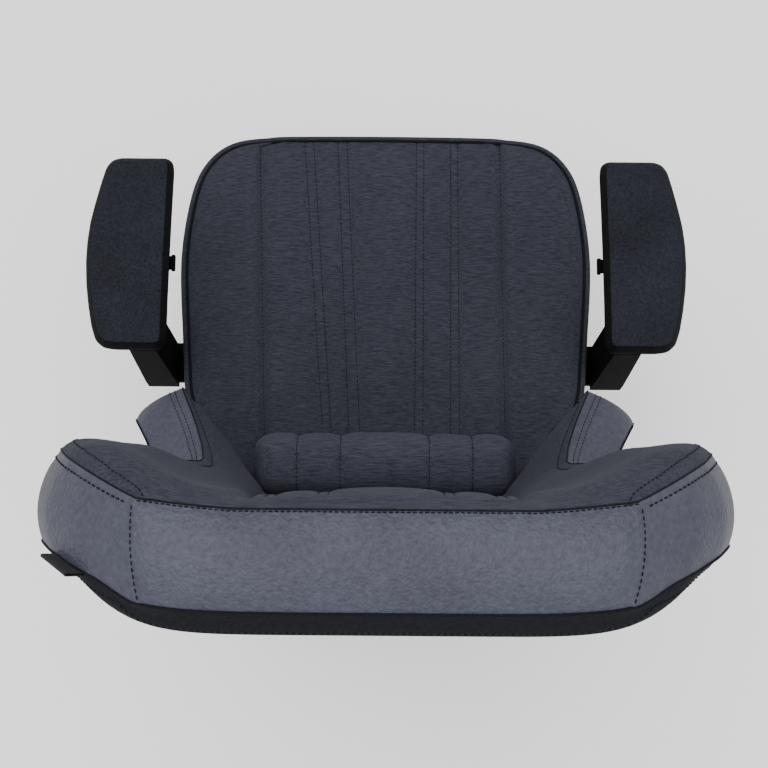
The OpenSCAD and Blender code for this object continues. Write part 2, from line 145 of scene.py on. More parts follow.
# Grained leatherette: pebbles with creases between them, and a slow change of tone.
def grainedSkin(name, dark, light, pebble, depth, roughness, shine=0.22):
    material, tree, shader = newMaterial(name, dark, roughness, shine=shine)
    cells = tree.nodes.new("ShaderNodeTexVoronoi")
    cells.feature = "SMOOTH_F1"
    cells.inputs["Scale"].default_value = pebble
    cells.inputs["Smoothness"].default_value = 0.5
    warp = noise(tree, objectPattern(tree, (pebble * 0.5,) * 3), 1.0, 2.0)
    tree.links.new(objectPattern(tree, (1, 1, 1)), cells.inputs["Vector"])
    height = math2(tree, "ADD", math2(tree, "MULTIPLY", cells.outputs["Distance"], -1.0),
                   math2(tree, "MULTIPLY", warp, 1.2))
    tone = noise(tree, objectPattern(tree, (14, 14, 14)), 1.0, 3.0)
    both = math2(tree, "ADD", math2(tree, "MULTIPLY", tone, 0.4), math2(tree, "MULTIPLY", warp, 0.6))
    shade(tree, shader, colourBetween(tree, both, dark, light, 0.3, 0.7))
    bump(tree, shader, height, depth, 0.0012)
    return material


def mouldedPlastic(name, colour, roughness, grain=900, depth=0.15, shine=0.12):
    material, tree, shader = newMaterial(name, colour, roughness, shine=shine)
    spark = noise(tree, objectPattern(tree, (grain,) * 3), 1.0, 2.0)
    cloud = noise(tree, objectPattern(tree, (20,) * 3), 1.0, 3.0)
    shade(tree, shader, colourBetween(tree, cloud, dimmed(colour, 0.85), dimmed(colour, 1.25)))
    bump(tree, shader, spark, depth, 0.0004)
    return material


def drawnMetal(name, colour, roughness, streak=(900, 900, 12)):
    material, tree, shader = newMaterial(name, colour, roughness, metallic=1.0)
    lines = noise(tree, objectPattern(tree, streak), 1.0, 3.0)
    shade(tree, shader, colourBetween(tree, lines, dimmed(colour, 0.8), colour))
    bump(tree, shader, lines, 0.12, 0.0002)
    return material


def powderCoat(name, colour):
    material, tree, shader = newMaterial(name, colour, 0.6, shine=0.06)
    peel = noise(tree, objectPattern(tree, (420,) * 3), 1.0, 2.0)
    shade(tree, shader, colourBetween(tree, peel, dimmed(colour, 0.8), dimmed(colour, 1.2)))
    bump(tree, shader, peel, 0.2, 0.0004)
    return material


def plyBoard(name):
    material, tree, shader = newMaterial(name, (0.5, 0.34, 0.19), 0.6)
    grain = noise(tree, objectPattern(tree, (14, 160, 14)), 1.0, 4.0, 0.6)
    plies = tree.nodes.new("ShaderNodeTexWave")
    plies.bands_direction = "Z"
    plies.inputs["Scale"].default_value = 210
    tree.links.new(objectPattern(tree, (1, 1, 1)), plies.inputs["Vector"])
    mix = math2(tree, "ADD", math2(tree, "MULTIPLY", grain, 0.8),
                math2(tree, "MULTIPLY", plies.outputs["Fac"], 0.2))
    shade(tree, shader, colourBetween(tree, mix, (0.3, 0.18, 0.09), (0.58, 0.41, 0.24)))
    bump(tree, shader, grain, 0.1, 0.0005)
    return material


tones = {"clothDark": (0.0125, 0.0135, 0.0200), "clothLight": (0.036, 0.0375, 0.0505),
         "skinDark": (0.027, 0.0285, 0.0415), "skinLight": (0.048, 0.0503, 0.0710),
         "padDark": (0.0018, 0.0023, 0.0050), "padLight": (0.0125, 0.0140, 0.0225)}
darkWeave = wovenCloth("darkWeave", tones["clothDark"], tones["clothLight"])
# painted light: the pillow's cloth is the seat weave made 1.35 times lighter, standing in for light on its
# forward-facing front
pillowWeavePaintedLight = wovenCloth("pillowWeavePaintedLight", dimmed(tones["clothDark"], 1.35), dimmed(tones["clothLight"], 1.35))
# partly painted shade: the seat's underside and the backrest's rear face take this much darker copy of the
# cloth for the shade they face, while the pipings use it as their own dark colour
pipingAndPaintedShadeWeave = wovenCloth("pipingAndPaintedShadeWeave", (0.0024, 0.0027, 0.0042), (0.008, 0.0085, 0.012), (300, 500, 500))
greySkin = grainedSkin("greySkin", tones["skinDark"], tones["skinLight"], 420, 0.55, 0.55)
# painted shade: a near-black copy of the pad skin for the pads' underside and side walls, standing in for the
# shade below the top's edge
padWallPaintedShade = grainedSkin("padWallPaintedShade", (0.0006, 0.0007, 0.001), (0.002, 0.0022, 0.003), 900, 0.4, 0.7, 0.08)
padSkin = grainedSkin("padSkin", tones["padDark"], tones["padLight"], 620, 0.9, 0.5, 0.12)
threadDark = wovenCloth("threadDark", (0.0015, 0.0018, 0.003), (0.007, 0.0075, 0.011), (900, 900, 900))
webbing = wovenCloth("webbing", (0.008, 0.008, 0.009), (0.03, 0.03, 0.033), (900, 120, 900))
blackNylon = mouldedPlastic("blackNylon", (0.0022, 0.0023, 0.0028), 0.8, shine=0.03)
baseNylon = mouldedPlastic("baseNylon", (0.0095, 0.0098, 0.011), 0.45, 1100, 0.12, 0.25)
wheelNylon = mouldedPlastic("wheelNylon", (0.009, 0.0093, 0.0105), 0.38, 1400, 0.08)
whiteAcetal = mouldedPlastic("whiteAcetal", (0.7, 0.7, 0.67), 0.35, 1200, 0.05)
blackCoat = powderCoat("blackCoat", (0.003, 0.0031, 0.0038))
zincSteel = drawnMetal("zincSteel", (0.55, 0.56, 0.58), 0.3)
plywood = plyBoard("plywood")
print("materials made")

slotFinish = {"black_nylon": blackNylon, "caster_wheel": wheelNylon, "black_steel": blackCoat,
              "bright_steel": zincSteel, "white_nylon": whiteAcetal, "plywood": plywood,
              "dark_weave": darkWeave, "arm_skin": padSkin, "strap_web": webbing}
for part in frame["record"]["subparts"]:
    node = frame["nodes"][part["node"]]
    finish = slotFinish[part["material_slot"]]
    if part["node"].startswith(("star_base", "column_shroud", "caster_fork", "tension_knob", "hinge_cover")):
        finish = baseNylon
    if node.material_slots:
        for holder in node.material_slots:
            holder.link = "OBJECT"
            holder.material = finish
    else:
        node.data.materials.append(finish)


def addMesh(name, points, faces, materials, faceMaterial=None, weld=0.0, smooth=True):
    mesh = bpy.data.meshes.new(name)
    mesh.from_pydata(points.reshape(-1, 3).tolist(), [], faces if isinstance(faces, list) else faces.tolist())
    for material in materials:
        mesh.materials.append(material)
    if faceMaterial is not None:
        mesh.polygons.foreach_set("material_index", np.asarray(faceMaterial, np.int32))
    form = bmesh.new()
    form.from_mesh(mesh)
    if weld:
        bmesh.ops.remove_doubles(form, verts=form.verts, dist=weld)
    bmesh.ops.recalc_face_normals(form, faces=form.faces)
    form.to_mesh(mesh)
    form.free()
    mesh.polygons.foreach_set("use_smooth", np.full(len(mesh.polygons), smooth))
    piece = bpy.data.objects.new(name, mesh)
    bpy.context.scene.collection.objects.link(piece)
    return piece


def gridFaces(index):  # a quad between each four neighbours in a grid of vertex numbers
    return np.stack([index[:-1, :-1], index[:-1, 1:], index[1:, 1:], index[1:, :-1]], -1).reshape(-1, 4)


def rim(grid):  # the border of a grid, once around
    return np.concatenate([grid[0, :-1], grid[:-1, -1], grid[-1, :0:-1], grid[:0:-1, 0]])


# A closed shell: a front grid, a back grid, and rings from the rim of one to the rim of the other.
def shellMesh(name, front, back, rings, materials):
    rows, columns = front.shape[:2]
    count = rows * columns
    frontIndex = np.arange(count).reshape(rows, columns)
    loops = [rim(frontIndex)]
    loops += [2 * count + k * len(loops[0]) + np.arange(len(loops[0])) for k in range(len(rings))]
    loops.append(rim(frontIndex) + count)
    loops = np.array(loops)
    sides = gridFaces(np.concatenate([loops, loops[:, :1]], 1))
    faces = np.concatenate([gridFaces(frontIndex), gridFaces(frontIndex + count), sides])
    perSide = (rows - 1) * (columns - 1)
    kinds = np.concatenate([np.zeros(perSide), np.full(perSide, 2), np.ones(len(sides))])
    points = np.concatenate([front.reshape(-1, 3), back.reshape(-1, 3), np.asarray(rings).reshape(-1, 3)])
    return addMesh(name, points, faces, materials, kinds)


def unit(v):
    return v / np.maximum(np.linalg.norm(v, axis=-1, keepdims=True), 1e-12)


def gridNormals(p):  # cross product of the two ways along the grid
    return unit(np.cross(np.gradient(p, axis=1), np.gradient(p, axis=0)))


# A tube of round section along a path closed into a loop: rings square to the path.
def tubeMesh(name, path, radius, material, body, sides=8):
    ways = unit(np.roll(path, -1, 0) - np.roll(path, 1, 0))
    a = unit(np.cross(ways, np.array([0.13, 0.21, 0.97])))
    b = np.cross(ways, a)
    turn = (np.arange(sides) * 2 * np.pi / sides)[None, :, None]
    rings = path[:, None] + radius * (np.cos(turn) * a[:, None] + np.sin(turn) * b[:, None])
    index = np.arange(len(path) * sides).reshape(len(path), sides)
    index = np.concatenate([index, index[:, :1]], 1)
    piece = addMesh(name, rings, gridFaces(np.concatenate([index, index[:1]], 0)), [material])
    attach(piece, body)


def evenSteps(path, step):  # points and directions at even steps along a path
    gaps = np.linalg.norm(np.diff(path, axis=0), axis=1)
    run = np.concatenate([[0], np.cumsum(gaps)])
    at = np.arange(step / 2, run[-1], step)
    point = np.stack([np.interp(at, run, path[:, k]) for k in range(3)], 1)
    ahead = np.stack([np.interp(np.minimum(at + step * 0.2, run[-1]), run, path[:, k]) for k in range(3)], 1)
    return point, unit(ahead - point + 1e-12)


# Thread: a small spindle of five sides for each stitch, laid along the lines.
def stitchMesh(name, lines, body, material, pitch=0.0052, length=0.0036, thick=0.00055):
    turn = np.arange(5) * 2 * np.pi / 5
    stations = np.array([-0.5, -0.3, 0.3, 0.5])
    girth = np.array([0.25, 1.0, 1.0, 0.25])
    local = np.stack([np.broadcast_to(stations[:, None], (4, 5)),
                      girth[:, None] * np.cos(turn), girth[:, None] * np.sin(turn)], -1).reshape(-1, 3)
    centres, ways = [np.concatenate(k) for k in zip(*[evenSteps(line, pitch) for line in lines])]
    a = unit(np.cross(ways, np.array([0.11, 0.17, 0.98])))
    b = np.cross(ways, a)
    points = (centres[:, None] + local[None, :, 0:1] * length * ways[:, None]
              + local[None, :, 1:2] * thick * a[:, None] + local[None, :, 2:3] * thick * b[:, None])
    ring = np.arange(20).reshape(4, 5)
    walls = gridFaces(np.concatenate([ring, ring[:, :1]], 1))
    offsets = np.arange(len(centres))[:, None, None] * 20
    quads = (walls[None] + offsets).reshape(-1, 4)
    caps = np.array([ring[0, ::-1], ring[3]])
    ends = (caps[None] + offsets).reshape(-1, 5)
    piece = addMesh(name, points, quads.tolist() + ends.tolist(), [material], smooth=False)
    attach(piece, body)


stuffing = {"stretch": 6, "shear": 2, "bend": 0.05, "quality": 5, "frames": 20}


# Blows a shell up as a stuffed cover: the held points stay on their seams and no point moves past the limit.
def stuff(piece, held, limit, pressure):
    mesh = piece.data
    count = len(mesh.vertices)
    before = readPoints(piece)
    group = piece.vertex_groups.new(name="held")
    group.add(np.nonzero(held)[0].tolist(), 1.0, "REPLACE")
    cloth = piece.modifiers.new("stuffing", "CLOTH")
    cloth.settings.use_pressure = True
    cloth.settings.uniform_pressure_force = pressure
    cloth.settings.vertex_group_mass = "held"
    cloth.settings.effector_weights.gravity = 0
    cloth.settings.tension_stiffness = cloth.settings.compression_stiffness = stuffing["stretch"]
    cloth.settings.shear_stiffness = stuffing["shear"]
    cloth.settings.bending_stiffness = stuffing["bend"]
    cloth.settings.quality = stuffing["quality"]
    cloth.collision_settings.use_collision = False
    cloth.point_cache.frame_start, cloth.point_cache.frame_end = 1, stuffing["frames"]
    for k in range(1, stuffing["frames"] + 1):
        bpy.context.scene.frame_set(k)
    shaped = piece.evaluated_get(bpy.context.evaluated_depsgraph_get())
    after = np.empty(count * 3)
    shaped.data.vertices.foreach_get("co", after)
    move = after.reshape(-1, 3) - before
    far = np.linalg.norm(move, axis=1, keepdims=True)
    move *= np.minimum(1.0, limit / np.maximum(far, 1e-9))
    print(f"{piece.name} stuffed, up to {far.max() * 1000:.0f} mm and {far.mean() * 1000:.1f} mm on average")
    piece.modifiers.remove(cloth)
    piece.vertex_groups.remove(group)
    writePoints(piece, before + move)
    bpy.context.scene.frame_set(1)


def spread(knots, counts):  # columns between knots, crowded towards each knot
    parts = [np.array([knots[0]])]
    for a, b, n in zip(knots[:-1], knots[1:], counts):
        t = np.arange(1, n + 1) / n
        parts.append(a + (b - a) * (t - 0.72 * np.sin(2 * np.pi * t) / (2 * np.pi)))
    return np.concatenate(parts)


def smoothLine(points, count, soften):  # even steps along an outline, with its corners softened
    points = np.asarray(points, float)
    run = np.concatenate([[0], np.cumsum(np.linalg.norm(np.diff(points, axis=0), axis=1))])
    even = np.linspace(0, run[-1], 600)
    line = np.stack([np.interp(even, run, points[:, k]) for k in range(2)], 1)
    reach = soften // 2
    ends = np.concatenate([2 * line[0] - line[reach:0:-1], line, 2 * line[-1] - line[-2:-reach - 2:-1]])
    weights = np.hanning(2 * reach + 3)[1:-1]
    weights /= weights.sum()
    line = np.stack([np.convolve(ends[:, k], weights, "valid") for k in range(2)], 1)
    at = np.linspace(0, 599, count)
    return np.stack([np.interp(at, np.arange(600), line[:, k]) for k in range(2)], 1)


def loopNormals(loop):  # outward, in plan, for a closed loop that may run either way
    ahead = np.roll(loop, -1, 0) - np.roll(loop, 1, 0)
    out = unit(np.stack([ahead[:, 1], -ahead[:, 0]], 1))
    turning = np.sum(loop[:, 0] * np.roll(loop[:, 1], -1) - np.roll(loop[:, 0], -1) * loop[:, 1])
    return out * np.sign(turning)


def valley(distance, width, depth):  # a sewn-in groove
    return depth * np.exp(-(distance / width) ** 2)


def subdivide(piece):
    smooth = piece.modifiers.new("smooth", "SUBSURF")
    smooth.levels = smooth.render_levels = 1


def readPoints(piece):
    flat = np.empty(len(piece.data.vertices) * 3)
    piece.data.vertices.foreach_get("co", flat)
    return flat.reshape(-1, 3)


def writePoints(piece, points):
    piece.data.vertices.foreach_set("co", points.ravel())
    piece.data.update()


seat = {"side": [[165, -260.5], [190, -258], [205, -254.5], [218, -248.5], [229, -240], [238, -230],
                 [246, -218], [252, -205], [257, -189], [261, -170], [265, -145], [268, -118],
                 [269.5, -90], [269, -60], [267.5, -35], [265.5, -8], [263.5, 20], [261, 55],
                 [259, 88], [254, 112], [240, 130], [224, 142], [220, 150], [220, 222]],
        "front": -262.0, "rear": 222.0, "top": 478.0, "bottom": 395.0, "rows": 100, "inset": 7.0,
        # each seam runs from its first x at the front edge to its second x near the pillow
        "seams": [[-151, -156], [-95, -97], [-86, -85.5], [-50, -49.5], [-40, -39], [54, 32], [66, 46],
                  [99, 69], [111, 80], [171, 155]], "seamEnd": 142.0, "puff": 0.008, "pressure": 60.0}


def seatGrid():  # rows follow the front edge, columns follow the seams
    side = smoothLine(seat["side"], seat["rows"], 26)
    side[:, 0] -= seat["inset"]
    v = np.linspace(0, 1, seat["rows"])
    centreY = seat["front"] + seat["inset"] + (seat["rear"] - seat["front"] - 2 * seat["inset"]) * v
    side[:, 1] = np.interp(side[:, 1], side[[0, -1], 1], [centreY[0] + 1.5, centreY[-1]])
    share = np.clip((centreY - seat["front"]) / (seat["seamEnd"] - seat["front"]), 0, 1.2)
    seams = np.array(seat["seams"], float)
    lines = seams[:, 0] + (seams[:, 1] - seams[:, 0]) * share[:, None]
    lines = np.clip(lines, -0.9 * side[:, :1], 0.9 * side[:, :1])
    knots = np.concatenate([-side[:, :1], lines, side[:, :1]], 1)
    u = spread(np.arange(12.0), [13, 8, 3, 6, 3, 12, 3, 6, 3, 9, 13])
    x = np.stack([np.interp(u, np.arange(12), row) for row in knots])
    reach = np.abs(x) / side[:, :1]
    y = centreY[:, None] + (side[:, 1] - centreY)[:, None] * reach ** 2
    return x, y, knots, u, side


# The top is level, dips at its rim and rises a little at the sides; the wall bows out, then draws in.
def makeSeat():
    x, y, knots, u, side = seatGrid()
    fromSide = side[:, :1] - np.abs(x)
    fromFront = y - y[:1]
    top = seat["top"] - 5 * np.exp(-fromSide / 9) - 6 * np.exp(-fromFront / 20)
    top += 3.0 * np.clip(np.abs(x) / 230, 0, 1) ** 3 * np.exp(-((y - 20) / 210) ** 2)
    edge = rim(np.stack([x, y, top], -1))
    out = loopNormals(edge[:, :2])
    rings = []
    for t in (0.02, 0.05, 0.1, 0.18, 0.3, 0.44, 0.58, 0.72, 0.84, 0.93, 0.98):
        push = (seat["inset"] + 2) * min(1.0, t / 0.06) ** 0.6 * (1 - 0.5 * t ** 3)
        rings.append(place(edge[:, 0] + out[:, 0] * push, edge[:, 1] + out[:, 1] * push,
                           edge[:, 2] + (seat["bottom"] - edge[:, 2]) * t))
    under = place(x, y, np.full_like(x, seat["bottom"]))
    # the underside takes the darker weave as painted shade
    piece = shellMesh("seatCushion", place(x, y, top), under, rings, [darkWeave, darkWeave, pipingAndPaintedShadeWeave])
    count = x.size
    near = np.min(np.abs(x[..., None] - knots[:, None, 1:-1]), -1)
    between = np.zeros_like(x, bool)
    for a in (2, 4, 6, 8):
        between |= (x > knots[:, a:a + 1] - 1) & (x < knots[:, a + 1:a + 2] + 1)
    frozen = np.ones(len(piece.data.vertices), bool)
    frozen[:count] = ((near < 2.5) | between | (fromSide < 3) | (fromFront < 1)).ravel()
    stuff(piece, frozen, seat["puff"], seat["pressure"])
    points = readPoints(piece)
    singles = np.min(np.abs(x[..., None] - knots[:, None, [1, 10]]), -1)
    twins = np.min(np.abs(x[..., None] - knots[:, None, 2:10]), -1)
    drop = valley(singles, 4.5, 4.0) + valley(twins, 2.6, 1.7) + valley(fromSide, 5.0, 1.5)
    points[:count, 2] -= drop.ravel() * 0.001
    writePoints(piece, points)
    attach(piece, "seat")
    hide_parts("seat_cushion")
    subdivide(piece)
    grid = points[:count].reshape(*x.shape, 3)
    lift = gridNormals(grid) * 0.0004
    lift *= np.sign(lift[..., 2:])
    lines = []
    for k in range(1, 11):
        lines.append((grid + lift)[:, np.argmin(np.abs(u - k))])
    stitchMesh("seatStitches", lines, "seat", threadDark)
    cord = rim(grid) + np.array([0, 0, 0.0006])
    tubeMesh("seatPiping", cord[::2], 0.0022, threadDark, "seat")
    print("seat made")


makeSeat()

back = {"levels": [[-60, 200, 0, 16, 58], [20, 203, 12, 22, 72], [60, 206, 45, 28, 68],
                   [100, 213, 84, 36, 60], [150, 224, 118, 45, 50], [190, 231, 133, 51, 43],
                   [218, 233, 136, 52, 41], [240, 226, 124, 48, 44], [262, 212, 96, 42, 50],
                   [290, 200, 66, 34, 56], [330, 194, 50, 26, 62], [380, 193, 46, 22, 66],
                   [440, 203, 45, 20, 70], [500, 223, 46, 18, 74], [560, 245, 47, 17, 77],
                   [620, 264, 48, 16, 79], [670, 273, 48, 15, 79], [710, 268, 45, 13, 79],
                   [750, 254, 37, 10, 79], [785, 230, 25, 5, 80], [806, 206, 13, -2, 78],
                   [830, 182, 5, -8, 78]],
        "flat": 112.0, "thick": 92.0, "low": -50.0, "high": 822.0, "rows": 160, "edgeStrip": 10.0,
        "panelRise": 812.0, "panelRound": 26.0, "puff": 0.006, "pressure": 25.0,
        "stripes": [45.0, 53.0, 86.0, 94.0], "stripeTop": 792}
backRun = np.arange(-60.0, 831.0)
backTable = np.array(back["levels"], float)
backSoft = np.hanning(29)[1:-1] / np.hanning(29).sum()
backSpread = [np.pad(np.interp(backRun, backTable[:, 0], backTable[:, k]), 13, "edge") for k in range(1, 5)]
backShape = [np.convolve(column, backSoft, "valid") for column in backSpread]  # the levels joined smoothly


def levelAt(s):  # half width and depth of the front edge, then how far the rear edge stands out and back
    return [np.interp(s, backRun, column) for column in backShape]


def frontY(x, s):  # flat in the middle but full behind the head, then curving forward to the wing's edge
    w, d = levelAt(s)[:2]
    reach = np.clip((np.abs(x) - back["flat"]) / (w - back["flat"]), 0, 1.05)
    head = 10 * np.exp(-((s - 745) / 80) ** 2) * np.clip(1 - (x / 150) ** 2, 0, 1)
    head *= np.clip((back["high"] - s) / 30, 0, 1)
    wing = 17 * np.sin(np.pi * np.clip(reach, 0, 1) ** 3.0) * np.clip((s - 420) / 150, 0, 1)
    wing *= np.clip((back["high"] - s) / 60, 0, 1) ** 0.7
    return -d * reach ** 1.35 - head - wing


def rearY(x, s):  # full behind the middle, falling away to the rear seam
    w, d, ex, ey = levelAt(s)
    thick = back["thick"] - 7 * np.clip(-s / 60, 0, 1)
    square = 3.2 + 7.0 * np.clip((s - 755) / 45, 0, 1)
    face = thick + (ey - d - thick) * np.clip(np.abs(x) / (w + ex), 0, 1) ** square
    return face + (78 - face) * np.exp(-((back["high"] - s) / 17) ** 2)


def panelWidth(s):  # the middle panel narrows towards the top
    return 106 + 29 * np.clip((790 - np.asarray(s, float)) / 420, 0, 1) ** 1.3


def panelDistance(x, s):  # how far a point is from the middle panel's seam, whose top corners are round
    r = back["panelRound"]
    dx = np.abs(x) - (panelWidth(s) - r)
    ds = s - (back["panelRise"] - r)
    return np.abs(np.hypot(np.maximum(dx, 0), np.maximum(ds, 0)) + np.minimum(np.maximum(dx, ds), 0) - r)


def pucker(along, away, size=0.7):  # small folds square to a seam that die out away from it
    wave = np.sin(along * 0.42) + 0.6 * np.sin(along * 0.97 + 1.3) + 0.4 * np.sin(along * 0.23 + 0.4)
    return size * wave * np.exp(-away / 9)


# Rows run up the back and columns across it: a front grid, a rear grid and a bowed band from rim to rim.
def makeBack():
    s = np.linspace(back["low"], back["high"], back["rows"])[:, None]
    w = levelAt(s)[0]
    stripe = [np.full_like(s, k) for k in back["stripes"]]
    half = stripe + [panelWidth(s), w - back["edgeStrip"], w]
    half[4] = np.minimum(half[4], half[5] - 12)
    knots = np.concatenate([-k for k in half[::-1]] + half, 1)
    u = spread(np.arange(14.0), [3, 11, 6, 3, 6, 3, 12, 3, 6, 3, 6, 11, 3])
    x = np.stack([np.interp(u, np.arange(14), row) for row in knots])
    s = np.broadcast_to(s, x.shape)
    fromEdge = w - np.abs(x)
    fromTop = back["high"] - s
    fromLow = s - back["low"]
    border = np.minimum(fromEdge, np.minimum(fromTop, fromLow))
    pressed = (s < 222) & (np.abs(x) < 150)
    puffed = np.where(pressed, 0, 3.5) * (1 - np.exp(-border / 6))
    front = placeBack(x, frontY(x, s) - puffed + 2.5 * np.exp(-fromTop / 8), s)
    bend = levelAt(s)
    rearX = x / w * (w + bend[2])
    crown = 8 * np.exp(-((s - 700) / 260) ** 2) * (1 - (x / w) ** 6)
    rear = placeBack(rearX, rearY(rearX, s) + crown - 4.0 * np.exp(-border / 8), s)
    edge, far = rim(front), rim(rear)
    rows, columns = x.shape
    out = np.concatenate([np.tile([0, -1], (columns - 1, 1)), np.tile([1, 0], (rows - 1, 1)),
                          np.tile([0, 1], (columns - 1, 1)), np.tile([-1, 0], (rows - 1, 1))]).astype(float)
    wide = np.concatenate([np.full(columns - 1, 11.0), np.full(rows - 1, 22.0),
                           np.full(columns - 1, 17.0), np.full(rows - 1, 22.0)])
    soft = np.hanning(9) / np.hanning(9).sum()
    out = np.stack([np.convolve(np.pad(out[:, k] * wide, 4, "wrap"), soft, "valid") for k in range(2)], 1)
    c, k = math.cos(chair["lean"]), math.sin(chair["lean"])
    push = np.stack([out[:, 0], out[:, 1] * k, out[:, 1] * c], 1) * 0.001
    width = np.linalg.norm(far - edge, axis=1)
    gap = np.linalg.norm(np.roll(edge, -1, 0) - edge, axis=1)
    run = np.concatenate([[0], np.cumsum(gap)[:-1]]) * 1000
    corners = [columns - 1 + rows - 1, 2 * (columns - 1) + rows - 1]
    fromMitre = np.min(np.abs(run[:, None] - run[corners]), 1)

    def gusset(t, dent=0.0):  # a bowed band from the front seam to the rear seam
        t = np.asarray(t, float).reshape(-1, 1) * np.ones((len(edge), 1))
        bow = 2 * t * (1 - t) * push
        inward = unit(push) * 0.001 * (dent + valley(fromMitre, 2.5, 1.8) * 4 * (t * (1 - t))[:, 0])[:, None]
        return edge * (1 - t) + far * t + bow - inward

    shares = [0.03, 0.08, 0.13, 0.18, 0.25, 0.35, 0.5, 0.65, 0.78, 0.88, 0.95]
    order = np.arange(len(edge))
    onTop = (order > corners[0]) & (order < corners[1])
    stitchOffset = np.where(onTop, 1.8, 6.5)  # close to the seam on the top band, further off on the sides
    lane = stitchOffset / np.maximum(width * 1000, 20)
    rings = []
    for t in shares:
        away = np.abs(t - lane) * width * 1000
        fold = pucker(run, away, 0.45) + pucker(run * 0.7 + 11, t * width * 1000, 0.3)
        rings.append(gusset(t, valley(away, 3.0, 1.1) + fold))
    # the rear face takes the darker weave as painted shade
    piece = shellMesh("backrestCover", front, rear, rings, [darkWeave, greySkin, pipingAndPaintedShadeWeave])
    count = x.size
    twins = np.min(np.abs(np.abs(x)[..., None] - np.array(back["stripes"])), -1)
    twins = np.where(s > back["stripeTop"], 50, twins)
    between = ((np.abs(np.abs(x) - 49) < 5) | (np.abs(np.abs(x) - 90) < 5)) & (s < back["stripeTop"])
    panel = panelDistance(x, s)
    strip = np.abs(fromEdge - back["edgeStrip"])
    frozen = np.ones(len(piece.data.vertices), bool)
    frozen[:count] = (between | (panel < 3.5) | (strip < 2.5) | (border < 2) | pressed).ravel()
    stuff(piece, frozen, back["puff"], back["pressure"])
    points = readPoints(piece)
    fold = pucker(s, panel, 0.5) + pucker(s + 3, strip, 0.5)
    drop = valley(panel, 3.6, 3.4) + valley(twins, 2.5, 1.7) + valley(strip, 2.6, 1.5) + fold
    inward = np.array([0, c, -k]) * 0.001
    points[:count] += drop.reshape(-1, 1) * inward
    seamUp = np.abs(np.minimum(border, 60) - 9)
    points[count:2 * count] -= valley(seamUp, 2.2, 1.4).reshape(-1, 1) * inward
    writePoints(piece, points)
    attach(piece, "back")
    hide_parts("backrest")
    subdivide(piece)
    print("backrest made")

    grid = points[:count].reshape(rows, columns, 3)
    rise = gridNormals(grid)
    rise *= np.sign(-rise[..., 1:2]) * 0.0004
    lines = []
    upTo = int(np.searchsorted(s[:, 0], back["stripeTop"]))
    for n in (1, 3, 4, 5, 6, 7, 8, 9, 10, 12):
        stop = upTo if 3 <= n <= 10 else rows
        lines.append((grid + rise)[:stop, int(np.argmin(np.abs(u - n)))])
    stitchMesh("frontStitches", lines, "back", threadDark)
    upHere = np.concatenate([np.full(columns - 1, back["low"]), s[:-1, 0],
                             np.full(columns - 1, back["high"]), s[:0:-1, 0]])
    hip = (upHere > 70) & (upHere < 330)
    side = np.arange(len(upHere)) < len(upHere) // 2
    near = gusset(stitchOffset / (width * 1000), 0.5)
    second = gusset(10.5 / (width * 1000), 0.1)
    wings = [near[(upHere >= 330) & (order < corners[0])], near[(upHere >= 330) & (order > corners[1])]]
    stitchMesh("gussetStitches", wings, "back", threadDark, 0.0062, 0.0042, 0.0008)
    stitchMesh("topStitches", [near[onTop]], "back", threadDark, 0.0045, 0.0034, 0.0006)
    fine = [near[hip & side], near[hip & ~side], second[hip & side], second[hip & ~side]]
    stitchMesh("hipStitches", fine, "back", threadDark, 0.005, 0.0034, 0.0005)
    steps = np.linspace(0.06, 0.94, 14)
    mitres = [np.array([gusset(t, -0.3)[n] for t in steps]) for n in corners]
    stitchMesh("mitreStitches", mitres, "back", threadDark)
    rearGrid = points[count:2 * count].reshape(rows, columns, 3)
    stitchMesh("rearStitches", [rim(rearGrid[4:-4, 3:-3]) + inward * 0.6], "back", threadDark)
    tubeMesh("frontPiping", edge[::2], 0.0008, pipingAndPaintedShadeWeave, "back")
    tubeMesh("rearPiping", far[::2], 0.0014, threadDark, "back")
    print("backrest seams made")


makeBack()


pillow = {"half": 154.0, "near": -5.0, "far": -88.0, "low": 54.0, "high": 214.0, "around": 84,
          "seams": [-101.0, -51.0, 51.0, 101.0], "puff": 0.0035, "pressure": 90.0}


